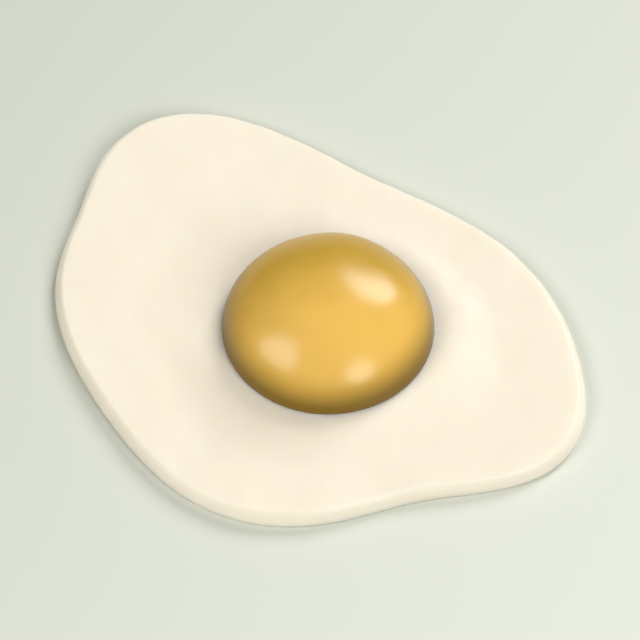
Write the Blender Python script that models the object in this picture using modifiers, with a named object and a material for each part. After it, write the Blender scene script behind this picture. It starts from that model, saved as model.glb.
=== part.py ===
"""A fried egg, sunny side up, with nothing under it.

Two pieces: the white, a flat puddle with a rounded rim and a shallow bed in its top, and the yolk,
which stands whole in that bed. Metres, +Z up. The origin is on the flat underside of the white, at
the middle of the egg's box, so the egg lies on the plane z = 0.
"""

import math

import bpy

# The yolk: half of a flattened ball above its widest ring, and a shallow belly below it.
YOLK_RADIUS = 0.022
YOLK_DOME_HEIGHT = 0.0144
YOLK_RING_HEIGHT = 0.0048  # of the widest ring, above the underside of the white
YOLK_CLEARANCE = 0.0003  # between the yolk and its bed

# The white in section, from the bed outwards.
FILM_THICKNESS = 0.0016  # under the middle of the yolk
BANK_HEIGHT = 0.0052  # thick white beside the yolk
PUDDLE_HEIGHT = 0.0037  # thin white further out
LIP_WIDTH = 0.0004  # rounding at the edge of the bed
BANK_FOOT_RADIUS = 0.036  # where the bank has run down to the puddle's height
RIM_WIDTH = 0.0017  # rounding from the puddle's top down to the rim's widest line
RIM_LINE_HEIGHT = 0.0011
RIM_TUCK = 0.0006  # rounding from the widest line in to the underside
RIM_FULLNESS = 0.75  # 1 is an elliptical rounding, and less is nearer to a chamfer
SECTION_RADIUS = 0.050  # of the round puddle, before it is drawn out to its outline

# Soft waves in the puddle's top: three wave trains that cross. Each has its share of the height,
# and its waves along X and along Y in one swell length.
SWELL_HEIGHT = 0.0002
SWELL_LENGTH = 0.024
SWELL_TRAINS = (
    (0.3, 1.3, -0.4),
    (0.3, 0.7, 1.6),
    (0.4, 0.4, -0.5),
)

# The white from above: a round puddle about the yolk's axis, with lobes where it ran further.
# Each lobe has its direction in degrees from +X, its extra reach and its spread in degrees.
PUDDLE_RADIUS = 0.0390
LOBES = (
    (123, 0.0200, 31),
    (160, 0.0170, 42),
    (242, 0.0100, 46),
    (327, 0.0115, 24),
    (355, 0.0100, 41),
    (147, -0.0040, 15),  # a slack stretch between the first two lobes
)

# Fineness of the facets: steps round the axis, and steps along each stretch of a section.
WHITE_STEPS = 96
YOLK_STEPS = 72
DOME_STEPS = 12
BELLY_STEPS = 5
BED_STEPS = 8
LIP_STEPS = 2
BANK_STEPS = 8
FLAT_STEPS = 3
SHOULDER_STEPS = 6
TUCK_STEPS = 3
MERGE_DISTANCE = 0.00001

BED_RADIUS = YOLK_RADIUS + YOLK_CLEARANCE
LIP_RADIUS = BED_RADIUS + LIP_WIDTH
RIM_START_RADIUS = SECTION_RADIUS - RIM_WIDTH

COOKED_WHITE = "fbf0db"
WHITE_ROUGHNESS = 0.35
GOLDEN_YOLK = "e9b84e"
YOLK_ROUGHNESS = 0.25


def linear_colour(hex_code):
    """An sRGB hex colour as linear red, green, blue and alpha."""
    channels = [int(hex_code[start : start + 2], 16) / 255 for start in (0, 2, 4)]
    return [
        c / 12.92 if c <= 0.04045 else ((c + 0.055) / 1.055) ** 2.4 for c in channels
    ] + [1.0]


def food_material(name, hex_code, roughness):
    """A Principled material with one colour, which isn't metallic."""
    material = bpy.data.materials.new(name)
    material.use_nodes = True
    shader = material.node_tree.nodes["Principled BSDF"]
    shader.inputs["Base Color"].default_value = linear_colour(hex_code)
    shader.inputs["Roughness"].default_value = roughness
    shader.inputs["Metallic"].default_value = 0.0
    return material


def arc(centre, half_width, half_height, start, end, steps, fullness=1.0):
    """Points (radius, height) on part of an ellipse. 0 degrees points outwards and 90 up.

    A fullness under 1 flattens the ellipse's quarters, like a chamfer with soft edges.
    """
    points = []
    for i in range(steps + 1):
        turn = math.radians(start + (end - start) * i / steps)
        across, up = math.cos(turn), math.sin(turn)
        across = math.copysign(abs(across) ** (1 / fullness), across)
        up = math.copysign(abs(up) ** (1 / fullness), up)
        points.append((centre[0] + half_width * across, centre[1] + half_height * up))
    return points


def ease(share):
    """0 to 1 with a level start and a level end."""
    return share * share * (3 - 2 * share)


def yolk_section():
    """The yolk's outer side from its top, over the widest ring, to the bottom of its belly."""
    ring = (0, YOLK_RING_HEIGHT)
    belly_depth = YOLK_RING_HEIGHT - FILM_THICKNESS - YOLK_CLEARANCE
    dome = arc(ring, YOLK_RADIUS, YOLK_DOME_HEIGHT, 90, 0, DOME_STEPS)
    belly = arc(ring, YOLK_RADIUS, belly_depth, 0, -90, BELLY_STEPS)
    return dome + belly[1:]


def white_section():
    """The white's skin from the middle of the bed, over bank and rim, to the middle below."""
    bed_depth = YOLK_RING_HEIGHT - FILM_THICKNESS
    bed = arc((0, YOLK_RING_HEIGHT), BED_RADIUS, bed_depth, -90, 0, BED_STEPS)
    lip_height = BANK_HEIGHT - YOLK_RING_HEIGHT
    lip = arc((LIP_RADIUS, YOLK_RING_HEIGHT), LIP_WIDTH, lip_height, 180, 90, LIP_STEPS)
    bank = []
    for i in range(1, BANK_STEPS + 1):
        share = i / BANK_STEPS
        radius = LIP_RADIUS + (BANK_FOOT_RADIUS - LIP_RADIUS) * share
        height = BANK_HEIGHT + (PUDDLE_HEIGHT - BANK_HEIGHT) * ease(share)
        bank.append((radius, height))
    flat = []
    for i in range(1, FLAT_STEPS):
        share = i / FLAT_STEPS
        radius = BANK_FOOT_RADIUS + (RIM_START_RADIUS - BANK_FOOT_RADIUS) * share
        flat.append((radius, PUDDLE_HEIGHT))
    shoulder_height = PUDDLE_HEIGHT - RIM_LINE_HEIGHT
    shoulder_centre = (RIM_START_RADIUS, RIM_LINE_HEIGHT)
    shoulder = arc(
        shoulder_centre, RIM_WIDTH, shoulder_height, 90, 0, SHOULDER_STEPS, RIM_FULLNESS
    )
    tuck_centre = (SECTION_RADIUS - RIM_TUCK, RIM_LINE_HEIGHT)
    tuck = arc(tuck_centre, RIM_TUCK, RIM_LINE_HEIGHT, 0, -90, TUCK_STEPS)
    return bed + lip[1:] + bank + flat + shoulder + tuck[1:] + [(0, 0)]


def reach(angle):
    """How far the white ran from the yolk's axis, in the direction of this angle in radians."""
    distance = PUDDLE_RADIUS
    for direction, extra, spread in LOBES:
        away = (math.degrees(angle) - direction + 180) % 360 - 180
        distance += extra * math.exp(-((away / spread) ** 2))
    return distance


def hump(share):
    """0 at either end and 1 half-way."""
    return 4 * share * (1 - share)


def swell(x, y):
    """The height of the soft waves in the top of the white, from -1 to 1."""
    height = 0
    for part, waves_x, waves_y in SWELL_TRAINS:
        waves = (waves_x * x + waves_y * y) / SWELL_LENGTH
        height += part * math.sin(2 * math.pi * waves)
    return height


def drawn_out(point):
    """Where a point of the round puddle lies once the puddle has run out to its outline."""
    radius = math.hypot(point.x, point.y)
    if radius <= LIP_RADIUS:
        return point.copy()
    angle = math.atan2(point.y, point.x)
    share = min((radius - LIP_RADIUS) / (RIM_START_RADIUS - LIP_RADIUS), 1)
    stretch = 1 + share * (reach(angle) - SECTION_RADIUS) / radius
    moved = point.copy()
    moved.x *= stretch
    moved.y *= stretch
    if point.z > RIM_LINE_HEIGHT:
        moved.z += SWELL_HEIGHT * hump(share) * swell(moved.x, moved.y)
    return moved


def turned(name, section, steps, collection, material):
    """A new object whose mesh is the section, turned about Z by a Screw modifier."""
    mesh = bpy.data.meshes.new(name)
    edges = [(i, i + 1) for i in range(len(section) - 1)]
    mesh.from_pydata([(radius, 0, height) for radius, height in section], edges, [])
    mesh.materials.append(material)
    piece = bpy.data.objects.new(name, mesh)
    collection.objects.link(piece)
    screw = piece.modifiers.new("turn", "SCREW")
    screw.axis = "Z"
    screw.steps = steps
    screw.render_steps = steps
    screw.use_merge_vertices = True
    screw.merge_threshold = MERGE_DISTANCE
    screw.use_smooth_shade = True
    return piece


def draw_out_to_outline(white):
    """Makes the turned white a plain mesh, and moves its points out to the outline."""
    graph = bpy.context.evaluated_depsgraph_get()
    mesh = bpy.data.meshes.new_from_object(white.evaluated_get(graph))
    white.modifiers.clear()
    white.data = mesh
    for vertex in mesh.vertices:
        vertex.co = drawn_out(vertex.co)
    mesh.shade_smooth()


def middle_of(mesh):
    """The middle of the mesh's box in x and y."""
    xs = [vertex.co.x for vertex in mesh.vertices]
    ys = [vertex.co.y for vertex in mesh.vertices]
    return (min(xs) + max(xs)) / 2, (min(ys) + max(ys)) / 2


for old in list(bpy.data.objects):
    bpy.data.objects.remove(old)

egg = bpy.data.collections.new("fried_egg")
bpy.context.scene.collection.children.link(egg)

white_material = food_material("cooked egg white", COOKED_WHITE, WHITE_ROUGHNESS)
yolk_material = food_material("golden yolk", GOLDEN_YOLK, YOLK_ROUGHNESS)

white = turned("egg_white", white_section(), WHITE_STEPS, egg, white_material)
draw_out_to_outline(white)
yolk = turned("yolk", yolk_section(), YOLK_STEPS, egg, yolk_material)

# Both pieces are made about the yolk's axis. Their parent moves them so that the middle of the
# white's box comes over the origin.
middle_x, middle_y = middle_of(white.data)
yolk_axis = bpy.data.objects.new("yolk_axis", None)
egg.objects.link(yolk_axis)
yolk_axis.location = (-middle_x, -middle_y, 0)
white.parent = yolk_axis
yolk.parent = yolk_axis
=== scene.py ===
"""The looks of a fried egg, sunny side up: cooked white and whole yolk, on a plain pale floor."""

import math

import bpy
import numpy as np
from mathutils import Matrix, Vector


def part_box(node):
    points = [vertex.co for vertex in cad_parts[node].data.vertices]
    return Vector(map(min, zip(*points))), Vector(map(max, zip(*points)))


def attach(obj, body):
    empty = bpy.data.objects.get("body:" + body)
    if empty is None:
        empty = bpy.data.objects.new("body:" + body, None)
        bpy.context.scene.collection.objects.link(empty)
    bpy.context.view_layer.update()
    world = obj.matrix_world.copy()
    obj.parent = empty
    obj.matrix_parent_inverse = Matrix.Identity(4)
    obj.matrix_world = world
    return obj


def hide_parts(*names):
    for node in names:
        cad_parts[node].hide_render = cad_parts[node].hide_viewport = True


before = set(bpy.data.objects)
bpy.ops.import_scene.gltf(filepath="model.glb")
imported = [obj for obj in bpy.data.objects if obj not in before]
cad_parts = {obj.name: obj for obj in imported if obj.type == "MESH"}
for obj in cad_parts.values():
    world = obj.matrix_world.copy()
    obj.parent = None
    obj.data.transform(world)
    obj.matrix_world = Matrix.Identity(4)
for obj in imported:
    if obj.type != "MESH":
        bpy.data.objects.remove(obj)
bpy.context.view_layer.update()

# ---------------------------------------------------------------------------------------------
# Egg white. Really albumen, poured raw into a warm pan, where it ran out into a free-form puddle
# and set. The thick albumen stays as a low bank round the yolk, the thin albumen makes the flat
# outer part, and surface tension rounds the rim. It is one tender, moist, opaque piece.
# ---------------------------------------------------------------------------------------------

# All sizes are in metres. Those of the yolk and the bank come from the frame.
yolk_low, yolk_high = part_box("yolk")
white_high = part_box("egg_white")[1]
axis_x = (yolk_low.x + yolk_high.x) / 2
axis_y = (yolk_low.y + yolk_high.y) / 2
YOLK_RADIUS = (yolk_high.x - yolk_low.x) / 2
BANK_HEIGHT = white_high.z
RING_DEPTH = 0.0004  # of the yolk's widest ring, below the top of the bank
RING_HEIGHT = BANK_HEIGHT - RING_DEPTH

PUDDLE_HEIGHT = 0.0037
BED_DEPTH = 0.0029  # below the ring
BANK_FOOT_RADIUS = 0.036
RIM_WIDTH = 0.0017
RIM_LINE_HEIGHT = 0.0011  # of the rim's widest line
RIM_TUCK = 0.0006  # from the widest line in to the underside
RIM_FULLNESS = 0.75
SECTION_RADIUS = 0.050  # of the round puddle, before it is drawn out to its outline
UNDERSIDE_RADII = (0.040, 0.020, 0.004)  # of the rings in the flat underside

# Where the white touches the yolk it reaches into it a little, so that no gap shows. There its
# skin climbs the yolk in a fine meniscus.
YOLK_OVERLAP = 0.0002
CREST_SETBACK = 0.0001  # of the meniscus's crest, from where the bed ends
MENISCUS_RISE = 0.0002
MENISCUS_WIDTH = 0.0008

# The section's steps along each stretch, and its steps round the axis. The bed starts a little
# way out from the axis, and its middle is closed later.
BED_START = -87  # degrees
BED_STEPS = 6
MENISCUS_STEPS = 4
BANK_STEPS = 8
FLAT_STEPS = 4
SHOULDER_STEPS = 8
TUCK_STEPS = 5
RING_POINTS = 144

PUDDLE_RADIUS = 0.0390
LOBES = (  # direction in degrees, extra reach in metres, spread in degrees
    (123, 0.0200, 31),
    (160, 0.0170, 42),
    (242, 0.0100, 46),
    (327, 0.0115, 24),
    (355, 0.0100, 41),
    (147, -0.0040, 15),  # a slack stretch between the first two lobes
)


def reach(angle):
    """How far the white ran from the yolk's axis in this direction."""
    distance = np.full_like(angle, PUDDLE_RADIUS)
    for direction, extra, spread in LOBES:
        away = (np.degrees(angle) - direction + 180) % 360 - 180
        distance += extra * np.exp(-((away / spread) ** 2))
    return distance


def arc(centre, half_width, half_height, start, end, steps, fullness=1.0):
    """Points (radius, height) on part of an ellipse. 0 degrees points outwards and 90 up.

    A fullness under 1 flattens the ellipse's quarters, like a chamfer with soft edges.
    """
    points = []
    for i in range(steps + 1):
        turn = math.radians(start + (end - start) * i / steps)
        across, up = math.cos(turn), math.sin(turn)
        across = math.copysign(abs(across) ** (1 / fullness), across)
        up = math.copysign(abs(up) ** (1 / fullness), up)
        points.append((centre[0] + half_width * across, centre[1] + half_height * up))
    return points


def ease(share):
    """0 to 1 with a level start and a level end."""
    return share * share * (3 - 2 * share)


def white_section():
    """The white's skin from the middle of the bed, over meniscus, bank and rim, to below."""
    touching = YOLK_RADIUS - YOLK_OVERLAP
    bed = arc((0, RING_HEIGHT), touching, BED_DEPTH, BED_START, 0, BED_STEPS)
    crest = BANK_HEIGHT + MENISCUS_RISE
    meniscus_foot = touching + MENISCUS_WIDTH
    meniscus_reach = MENISCUS_WIDTH - CREST_SETBACK
    meniscus = arc(
        (meniscus_foot, crest), meniscus_reach, MENISCUS_RISE, 180, 270, MENISCUS_STEPS
    )
    bank = []
    for i in range(1, BANK_STEPS + 1):
        share = i / BANK_STEPS
        radius = meniscus_foot + (BANK_FOOT_RADIUS - meniscus_foot) * share
        height = BANK_HEIGHT + (PUDDLE_HEIGHT - BANK_HEIGHT) * ease(share)
        bank.append((radius, height))
    rim_start = SECTION_RADIUS - RIM_WIDTH
    flat = []
    for i in range(1, FLAT_STEPS):
        radius = BANK_FOOT_RADIUS + (rim_start - BANK_FOOT_RADIUS) * i / FLAT_STEPS
        flat.append((radius, PUDDLE_HEIGHT))
    rim_height = PUDDLE_HEIGHT - RIM_LINE_HEIGHT
    rim_centre = (rim_start, RIM_LINE_HEIGHT)
    shoulder = arc(rim_centre, RIM_WIDTH, rim_height, 90, 0, SHOULDER_STEPS, RIM_FULLNESS)
    tuck_centre = (SECTION_RADIUS - RIM_TUCK, RIM_LINE_HEIGHT)
    tuck = arc(tuck_centre, RIM_TUCK, RIM_LINE_HEIGHT, 0, -90, TUCK_STEPS)
    below = [(radius, 0) for radius in UNDERSIDE_RADII]
    return bed + meniscus + bank + flat + shoulder + tuck[1:] + below


# A small ring at the middle of the bed is extruded along the section, step by step.
section = white_section()
bpy.ops.object.select_all(action="DESELECT")
start_radius, start_height = section[0]
bpy.ops.mesh.primitive_circle_add(
    vertices=RING_POINTS, radius=start_radius, location=(0, 0, start_height)
)
white = bpy.context.object
white.name = "cooked_white"
bpy.ops.object.mode_set(mode="EDIT")
bpy.ops.mesh.select_all(action="SELECT")
for (radius, height), (next_radius, next_height) in zip(section, section[1:]):
    bpy.ops.mesh.extrude_region_move(
        TRANSFORM_OT_translate={"value": (0, 0, next_height - height)}
    )
    grow = next_radius / radius
    bpy.ops.transform.resize(value=(grow, grow, 1))
bpy.ops.object.mode_set(mode="OBJECT")
bpy.ops.object.transform_apply(location=True, rotation=False, scale=False)


def points_of(piece):
    """The places of a mesh's points, as an array of rows."""
    places = np.empty(len(piece.data.vertices) * 3, np.float32)
    piece.data.vertices.foreach_get("co", places)
    return places.reshape(-1, 3).astype(float)


def move_points(piece, places):
    """Puts a mesh's points at these places."""
    piece.data.vertices.foreach_set("co", places.astype(np.float32).ravel())
    piece.data.update()


# The round puddle is drawn out to its outline, about the yolk's axis.
MENISCUS_END = YOLK_RADIUS + MENISCUS_WIDTH
RIM_START = SECTION_RADIUS - RIM_WIDTH
places = points_of(white)
radius = np.hypot(places[:, 0], places[:, 1])
angle = np.arctan2(places[:, 1], places[:, 0])
share = np.clip((radius - MENISCUS_END) / (RIM_START - MENISCUS_END), 0, 1)
stretch = 1 + share * (reach(angle) - SECTION_RADIUS) / radius
places[:, 0] *= stretch
places[:, 1] *= stretch
places += np.array((axis_x, axis_y, 0))
move_points(white, places)

# Its mesh is refined, and the middle of the bed and of the underside are closed.
REFINE_LEVELS = 2
refine = white.modifiers.new("refine", "SUBSURF")
refine.levels = REFINE_LEVELS
refine.render_levels = REFINE_LEVELS
bpy.ops.object.modifier_apply(modifier=refine.name)
bpy.ops.object.mode_set(mode="EDIT")
bpy.ops.mesh.select_all(action="SELECT")
bpy.ops.mesh.fill_holes(sides=0)
bpy.ops.mesh.select_all(action="SELECT")
bpy.ops.mesh.normals_make_consistent(inside=False)
bpy.ops.object.mode_set(mode="OBJECT")

# The top set while it still moved a little, so it is softly uneven. The underside took the flat
# of the pan, and the skin is drawn tight against the yolk.
FREE_OF_YOLK = 0.004  # how far out from the meniscus the skin is slack
PAN_GRIP = 0.0005  # how far up from the underside the skin stays as the pan left it
FREE_OF_PAN = 0.0015  # how much further up it is slack
SWELL_SIZE = 0.014
SWELL_HEIGHT = 0.0007  # from its lowest to its highest
RIPPLE_SIZE = 0.0045
RIPPLE_HEIGHT = 0.00012
SLACK_SKIN = "slack skin"


def mark_slack_skin(piece, looseness):
    """Keeps how slack a piece's skin is at each point, from 0 to 1, as a vertex group."""
    group = piece.vertex_groups.new(name=SLACK_SKIN)
    for index, weight in enumerate(looseness):
        if weight > 0:
            group.add([index], float(weight), "REPLACE")


def make_uneven(piece, name, size, height, detail):
    """Moves the slack skin in and out by soft noise of this size and height."""
    texture = bpy.data.textures.new(name, "CLOUDS")
    texture.noise_scale = size
    texture.noise_depth = detail
    displace = piece.modifiers.new(name, "DISPLACE")
    displace.texture = texture
    displace.texture_coords = "LOCAL"
    displace.vertex_group = SLACK_SKIN
    displace.mid_level = 0.5
    displace.strength = height
    bpy.ops.object.modifier_apply(modifier=name)


places = points_of(white)
radius = np.hypot(places[:, 0] - axis_x, places[:, 1] - axis_y)
off_yolk = np.clip((radius - MENISCUS_END) / FREE_OF_YOLK, 0, 1)
off_pan = np.clip((places[:, 2] - PAN_GRIP) / FREE_OF_PAN, 0, 1)
mark_slack_skin(white, off_yolk * off_pan)
make_uneven(white, "swell", SWELL_SIZE, SWELL_HEIGHT, detail=1)
make_uneven(white, "ripple", RIPPLE_SIZE, RIPPLE_HEIGHT, detail=1)
bpy.ops.object.shade_smooth()


def linear(hex_code):
    """An sRGB hex colour as linear red, green, blue and alpha."""
    channels = [int(hex_code[start : start + 2], 16) / 255 for start in (1, 3, 5)]
    return tuple(
        c / 12.92 if c <= 0.04045 else ((c + 0.055) / 1.055) ** 2.4 for c in channels
    ) + (1.0,)


def add_node(material, kind, settings=None, inputs=None):
    """Adds a node. Settings are its own properties. Inputs are values, or sockets that feed them."""
    node = material.node_tree.nodes.new(kind)
    for name, value in (settings or {}).items():
        setattr(node, name, value)
    for name, value in (inputs or {}).items():
        if isinstance(value, bpy.types.NodeSocket):
            material.node_tree.links.new(value, node.inputs[name])
        else:
            node.inputs[name].default_value = value
    return node


# Set albumen: milky, with light that goes a few millimetres in and comes out again, so its edges
# look soft. Faint creamier clouds drift in it, its skin has a very fine grain, and it shines like
# satin, more where it is wetter.
CLOUD_SIZE = 0.011
PORE_SIZE = 0.0007  # coarser than the real grain, which is too fine to show
PORE_DEPTH = 0.0003
MOIST_PATCH_SIZE = 0.0045
WETTER_ROUGHNESS = 0.34
DRIER_ROUGHNESS = 0.50
albumen = bpy.data.materials.new("set albumen")
albumen.use_nodes = True
links = albumen.node_tree.links
place = add_node(albumen, "ShaderNodeTexCoord").outputs["Object"]
cloud = add_node(
    albumen,
    "ShaderNodeTexNoise",
    inputs={"Vector": place, "Scale": 1 / CLOUD_SIZE, "Detail": 3.0},
)
cream = add_node(
    albumen,
    "ShaderNodeMix",
    {"data_type": "RGBA"},
    {0: cloud.outputs[0], 6: linear("#f9e8d5"), 7: linear("#fdecdb")},
)
pores = add_node(
    albumen,
    "ShaderNodeTexNoise",
    inputs={"Vector": place, "Scale": 1 / PORE_SIZE, "Detail": 2.0},
)
grain = add_node(
    albumen,
    "ShaderNodeBump",
    inputs={"Strength": 0.06, "Distance": PORE_DEPTH, "Height": pores.outputs[0]},
)
patches = add_node(
    albumen,
    "ShaderNodeTexNoise",
    inputs={"Vector": place, "Scale": 1 / MOIST_PATCH_SIZE, "Detail": 2.0},
)
moist = add_node(
    albumen,
    "ShaderNodeMapRange",
    inputs={
        "Value": patches.outputs[0],
        "From Min": 0.3,
        "From Max": 0.7,
        "To Min": WETTER_ROUGHNESS,
        "To Max": DRIER_ROUGHNESS,
    },
)
shader = albumen.node_tree.nodes["Principled BSDF"]
links.new(cream.outputs[2], shader.inputs["Base Color"])
links.new(moist.outputs[0], shader.inputs["Roughness"])
links.new(grain.outputs[0], shader.inputs["Normal"])
shader.inputs["IOR"].default_value = 1.38
shader.inputs["Subsurface Weight"].default_value = 1.0
shader.inputs["Subsurface Radius"].default_value = (0.0030, 0.0026, 0.0020)
shader.inputs["Subsurface Scale"].default_value = 1.0
white.data.materials.append(albumen)
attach(white, "root")
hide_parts("egg_white")

# ---------------------------------------------------------------------------------------------
# Yolk. Really liquid egg yolk in its thin clear skin, still whole, so it stands as a flattened
# dome in the bed that the white leaves it. The white that set round its foot holds it there.
# ---------------------------------------------------------------------------------------------

# A cube, cut fine and blown up to a ball, has even faces and no pole. It is flattened by one
# amount above the widest ring and by another below it.
FACE_CUTS = 63
dome_height = yolk_high.z - RING_HEIGHT
belly_depth = RING_HEIGHT - yolk_low.z
bpy.ops.object.select_all(action="DESELECT")
bpy.ops.mesh.primitive_cube_add(size=2.0, location=(0, 0, 0))
yolk = bpy.context.object
yolk.name = "whole_yolk"
bpy.ops.object.mode_set(mode="EDIT")
bpy.ops.mesh.select_all(action="SELECT")
bpy.ops.mesh.subdivide(number_cuts=FACE_CUTS)
bpy.ops.transform.tosphere(value=1.0)
bpy.ops.object.mode_set(mode="OBJECT")
places = points_of(yolk)
places /= np.linalg.norm(places, axis=1)[:, None]
places[:, :2] *= YOLK_RADIUS
places[:, 2] *= np.where(places[:, 2] > 0, dome_height, belly_depth)
places += np.array((axis_x, axis_y, RING_HEIGHT))
move_points(yolk, places)

# Its skin is under no more pull than its own weight gives, so the dome isn't quite even.
FREE_SKIN_RISE = 0.006  # above the ring, where the skin is quite free
SAG_SIZE = 0.013
SAG_HEIGHT = 0.0007
above_ring = points_of(yolk)[:, 2] - RING_HEIGHT
mark_slack_skin(yolk, np.clip(above_ring / FREE_SKIN_RISE, 0, 1))
make_uneven(yolk, "sag", SAG_SIZE, SAG_HEIGHT, detail=0)
bpy.ops.object.shade_smooth()

# Yolk in its skin: golden and a little see-through, deeper and darker towards the foot, partly its
# deeper colour where it is thick and partly painted shade of the steep foot. The front of the dome
# is painted paler and the back a deeper gold, with a noisy border between them: painted light on the
# front and painted shade on the back. The skin is wet, so it is glossier than the white.
FOOT_SHADE_TOP = RING_HEIGHT + 0.0018  # the foot's painted shade, at its darkest up to here
FOOT_SHADE_FADE_TOP = RING_HEIGHT + 0.0091  # and gone from here up
BORDER_NOISE_SIZE = 0.009
BORDER_DRIFT = 0.010  # the most that the noise moves the border between painted light and painted shade
LIT_SIDE_DIRECTION = (0.15, -0.97, 0.20)  # from the middle of the ring towards the side painted paler
LIT_SIDE_START = -0.005  # along that direction, metres
LIT_SIDE_FULL = 0.019
golden = bpy.data.materials.new("yolk in its skin")
golden.use_nodes = True
links = golden.node_tree.links
place = add_node(golden, "ShaderNodeTexCoord").outputs["Object"]
height = add_node(golden, "ShaderNodeSeparateXYZ", inputs={0: place}).outputs["Z"]
above_foot_shade = add_node(
    golden,
    "ShaderNodeMapRange",
    {"interpolation_type": "SMOOTHSTEP"},
    {"Value": height, "From Min": FOOT_SHADE_TOP, "From Max": FOOT_SHADE_FADE_TOP},
)
border_noise = add_node(
    golden,
    "ShaderNodeTexNoise",
    inputs={"Vector": place, "Scale": 1 / BORDER_NOISE_SIZE, "Detail": 2.0},
)
drift = add_node(
    golden,
    "ShaderNodeMath",
    {"operation": "MULTIPLY"},
    {0: border_noise.outputs[0], 1: BORDER_DRIFT},
)
from_middle = add_node(
    golden,
    "ShaderNodeVectorMath",
    {"operation": "SUBTRACT"},
    {0: place, 1: (axis_x, axis_y, RING_HEIGHT)},
)
towards_lit_side = add_node(
    golden,
    "ShaderNodeVectorMath",
    {"operation": "DOT_PRODUCT"},
    {0: from_middle.outputs["Vector"], 1: LIT_SIDE_DIRECTION},
)
drifted = add_node(
    golden,
    "ShaderNodeMath",
    {"operation": "ADD"},
    {0: towards_lit_side.outputs["Value"], 1: drift.outputs[0]},
)
lit_side_share = add_node(
    golden,
    "ShaderNodeMapRange",
    {"interpolation_type": "SMOOTHSTEP"},
    {"Value": drifted.outputs[0], "From Min": LIT_SIDE_START, "From Max": LIT_SIDE_FULL},
)
# Painted light and shade: the front of the dome is painted paler and the back a deeper gold.
dome_painted_light_and_shade = add_node(
    golden,
    "ShaderNodeMix",
    {"data_type": "RGBA"},
    {0: lit_side_share.outputs[0], 6: linear("#c79e3b"), 7: linear("#eebf5c")},
)
# Painted shade: the foot is painted dark, partly the deeper colour of the thick yolk there and
# partly the shade of its steep sides.
gold = add_node(
    golden,
    "ShaderNodeMix",
    {"data_type": "RGBA"},
    {0: above_foot_shade.outputs[0], 6: linear("#7f6209"), 7: dome_painted_light_and_shade.outputs[2]},
)
shader = golden.node_tree.nodes["Principled BSDF"]
links.new(gold.outputs[2], shader.inputs["Base Color"])
shader.inputs["Roughness"].default_value = 0.25
shader.inputs["IOR"].default_value = 1.41
shader.inputs["Subsurface Weight"].default_value = 0.10
shader.inputs["Subsurface Radius"].default_value = (0.0025, 0.0014, 0.0005)
shader.inputs["Subsurface Scale"].default_value = 1.0
yolk.data.materials.append(golden)
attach(yolk, "root")
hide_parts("yolk")

# ---------------------------------------------------------------------------------------------
# The studio: a pale floor that lies flat under the egg, with painted light across it, three soft
# lights with a faint glow from the walls, and the camera.
# ---------------------------------------------------------------------------------------------

# Pale matt paint: no gloss at all. Its colour is painted slowly lighter across the floor towards the
# front right: painted light, as if the lamps lit that end more.
FLOOR_SIZE = 24.0
PAINTED_LIGHT_DIRECTION = (0.86, -0.50, 0)  # towards the end painted lighter
PAINTED_LIGHT_REACH = 0.12  # from the middle to either end of the painted light's rise
bpy.ops.object.select_all(action="DESELECT")
bpy.ops.mesh.primitive_plane_add(size=FLOOR_SIZE, location=(0, 0, 0))
floor = bpy.context.object
floor.name = "floor"
matt = bpy.data.materials.new("pale matt paint")
matt.use_nodes = True
links = matt.node_tree.links
place = add_node(matt, "ShaderNodeTexCoord").outputs["Object"]
forward = add_node(
    matt, "ShaderNodeVectorMath", {"operation": "DOT_PRODUCT"}, {0: place, 1: PAINTED_LIGHT_DIRECTION}
)
rise = add_node(
    matt,
    "ShaderNodeMapRange",
    inputs={"Value": forward.outputs["Value"], "From Min": -PAINTED_LIGHT_REACH, "From Max": PAINTED_LIGHT_REACH},
)
# Painted light: the floor's colour is painted lighter towards the front right.
floor_painted_light = add_node(
    matt,
    "ShaderNodeMix",
    {"data_type": "RGBA"},
    {0: rise.outputs[0], 6: linear("#c9cdbf"), 7: linear("#e4e8dc")},
)
shader = matt.node_tree.nodes["Principled BSDF"]
links.new(floor_painted_light.outputs[2], shader.inputs["Base Color"])
shader.inputs["Roughness"].default_value = 0.9
shader.inputs["Specular IOR Level"].default_value = 0.0
floor.data.materials.append(matt)


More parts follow.
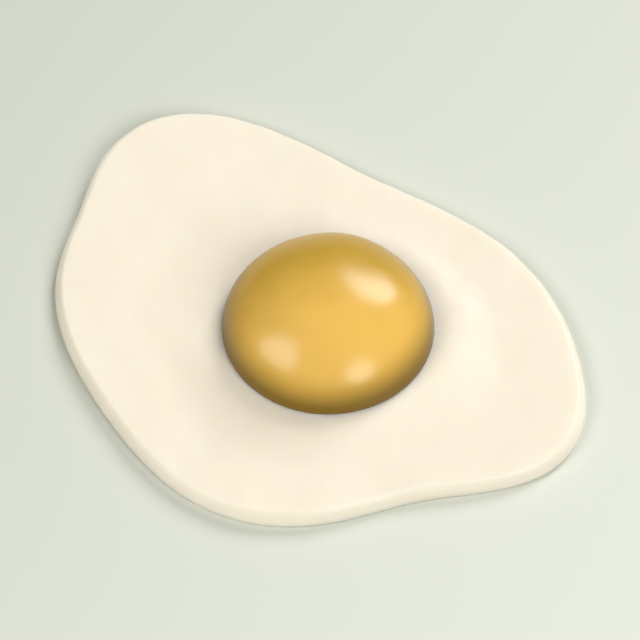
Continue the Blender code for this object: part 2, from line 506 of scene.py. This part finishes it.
def direction(azimuth, elevation):
    """The unit vector towards a place round the egg. Azimuth 0 is in front and 90 to its right."""
    turn, lift = math.radians(azimuth), math.radians(elevation)
    level = math.cos(lift)
    return Vector((math.sin(turn) * level, -math.cos(turn) * level, math.sin(lift)))


def soft_sun(name, azimuth, elevation, spread, strength):
    """A far, round, soft light. Its spread is how many degrees wide it looks from the egg."""
    light = bpy.data.lights.new(name, "SUN")
    light.angle = math.radians(spread)
    light.energy = strength
    lamp = bpy.data.objects.new(name, light)
    bpy.context.scene.collection.objects.link(lamp)
    lamp.location = direction(azimuth, elevation)
    lamp.rotation_euler = lamp.location.to_track_quat("Z", "Y").to_euler()


soft_sun("back right light", azimuth=145, elevation=36, spread=28, strength=2.00)
soft_sun("front right light", azimuth=38, elevation=37, spread=32, strength=1.72)
soft_sun("left light", azimuth=-68, elevation=43, spread=30, strength=1.38)

WALL_GLOW = 0.09
world = bpy.data.worlds.new("studio walls")
world.use_nodes = True
background = world.node_tree.nodes["Background"]
background.inputs["Color"].default_value = linear("#ffffff")
background.inputs["Strength"].default_value = WALL_GLOW
bpy.context.scene.world = world
bpy.context.scene.view_settings.view_transform = "Standard"

# The camera looks down from far off through a long lens. The yolk isn't quite at the middle of
# its frame.
CAMERA_ELEVATION = 54.6  # degrees
CAMERA_DISTANCE = 3.0
FRAME_WIDTH = 0.1324  # at the egg
AIM_LEFT_OF_YOLK = 0.0017
AIM_ABOVE_YOLK = 0.0018  # up the frame
FAR_LIMIT = 100.0  # beyond the floor's far edge
camera_data = bpy.data.cameras.new("camera")
camera_data.lens = camera_data.sensor_width * CAMERA_DISTANCE / FRAME_WIDTH
camera_data.clip_end = FAR_LIMIT
camera = bpy.data.objects.new("camera", camera_data)
bpy.context.scene.collection.objects.link(camera)
towards = direction(0, CAMERA_ELEVATION)
frame_up = Vector((0, towards.z, -towards.y))
aim = Vector((axis_x - AIM_LEFT_OF_YOLK, axis_y, RING_HEIGHT)) + frame_up * AIM_ABOVE_YOLK
camera.location = aim + towards * CAMERA_DISTANCE
camera.rotation_euler = towards.to_track_quat("Z", "Y").to_euler()
bpy.context.scene.camera = camera
